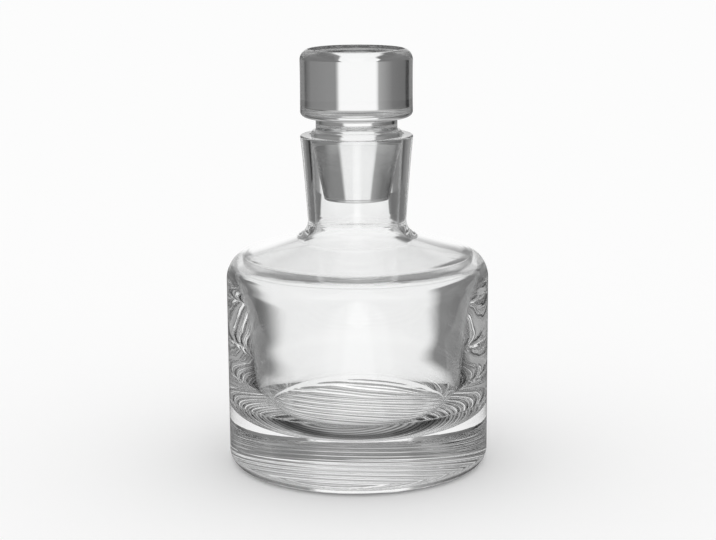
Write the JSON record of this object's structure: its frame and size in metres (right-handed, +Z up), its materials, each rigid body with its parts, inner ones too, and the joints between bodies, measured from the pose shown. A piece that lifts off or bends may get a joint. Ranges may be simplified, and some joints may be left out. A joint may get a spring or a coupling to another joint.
{
  "type": "decanter",
  "caption": "Squat round spirit decanter in heavy clear glass, with a fluted thick base, a short neck and a drum-headed glass stopper that lifts out.",
  "frame": {"origin": "middle of the underside, on the surface that the decanter stands on", "axes": "+Z up along the axis of the vessel, the neck and the stopper; -Y towards the viewer of the picture, +X to the viewer's right"},
  "size_m": [0.1308, 0.1308, 0.2077],
  "materials": {
    "vessel_glass": "clear colourless glass, fire polished outside, with cut flutes under the base",
    "stopper_glass": "clear colourless solid glass, polished all over"
  },
  "bodies": {
    "vessel": {"vessel": "vessel_glass"},
    "stopper": {"stopper": "stopper_glass"}
  },
  "joints": [
    {"name": "stopper_lift", "type": "slide", "parent": "vessel", "child": "stopper", "axis": [0, 0, 1], "range_m": [0, 0.06]}
  ]
}
